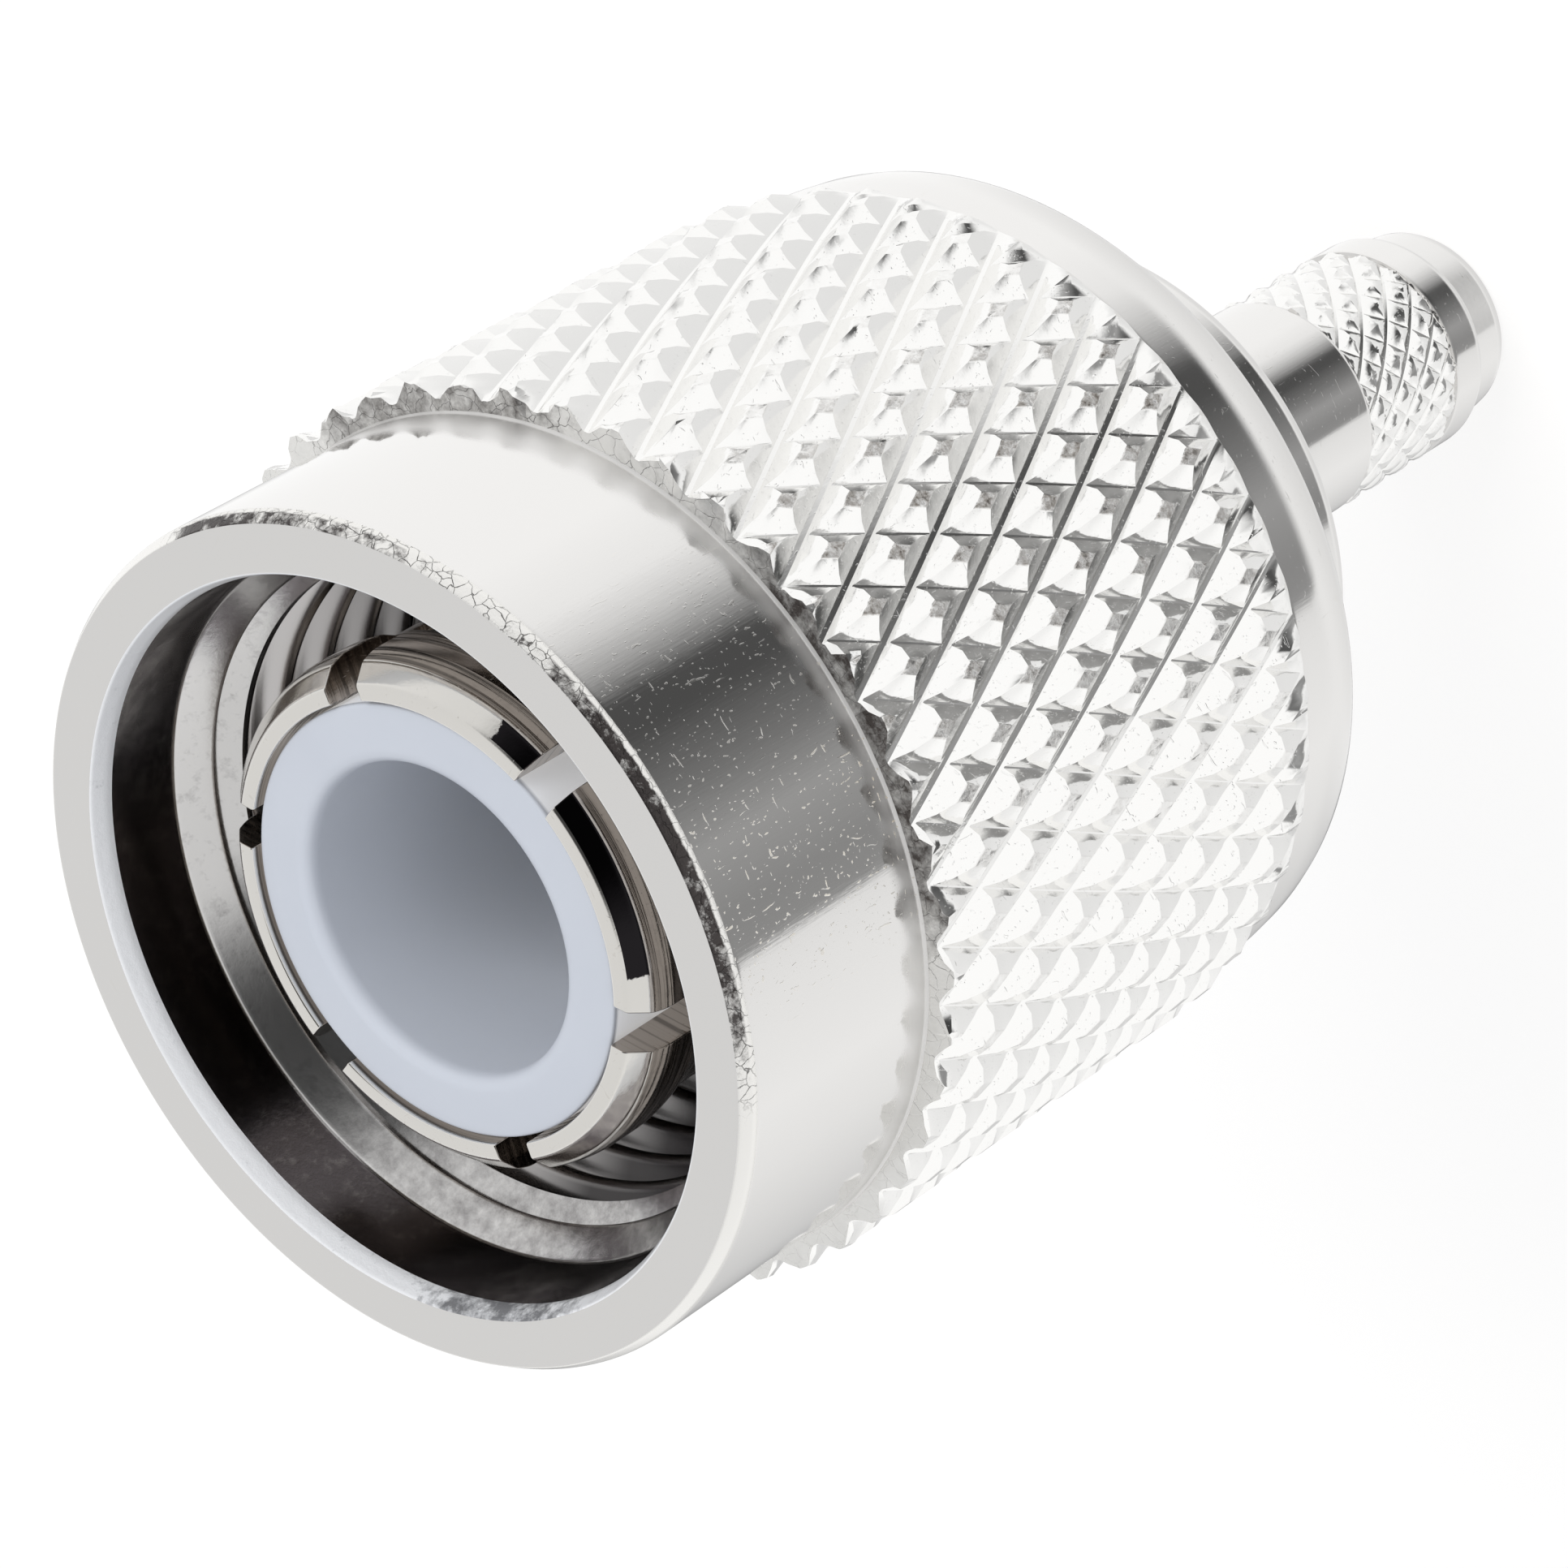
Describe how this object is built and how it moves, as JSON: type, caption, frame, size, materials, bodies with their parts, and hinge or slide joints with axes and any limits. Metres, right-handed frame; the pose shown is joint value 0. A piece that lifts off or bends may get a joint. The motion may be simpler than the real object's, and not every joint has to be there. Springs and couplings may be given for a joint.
{
  "type": "tnc connector",
  "caption": "Threaded coaxial plug with a knurled coupling nut, slotted outer contact, cup insulator and crimp stem.",
  "frame": {"origin": "centre of the crimp stem's rear end, on the connector's axis", "axes": "+Z along the axis from the stem to the mating end; +X and +Y square to it, with the sixty degree slot pattern turned to the picture"},
  "size_m": [0.0144, 0.0144, 0.0262],
  "materials": {
    "nickel_plate": "bright nickel plate on brass",
    "contact_plate": "warm grey plate on copper alloy",
    "white_insulator": "smooth white fluoropolymer",
    "gold_plate": "gold plate",
    "seal_rubber": "silicone rubber",
    "spring_bronze": "plain spring bronze"
  },
  "bodies": {
    "plug": {"plug_body": "nickel_plate", "outer_contact": "contact_plate", "front_insulator": "white_insulator", "rear_insulator": "white_insulator", "centre_contact": "gold_plate", "gasket": "seal_rubber", "retaining_ring": "spring_bronze"},
    "nut": {"coupling_nut": "nickel_plate"}
  },
  "joints": [
    {"name": "nut_turn", "type": "hinge", "parent": "plug", "child": "nut", "pos_m": [0, 0, 0.0143], "axis": [0, 0, 1], "continuous": true}
  ]
}
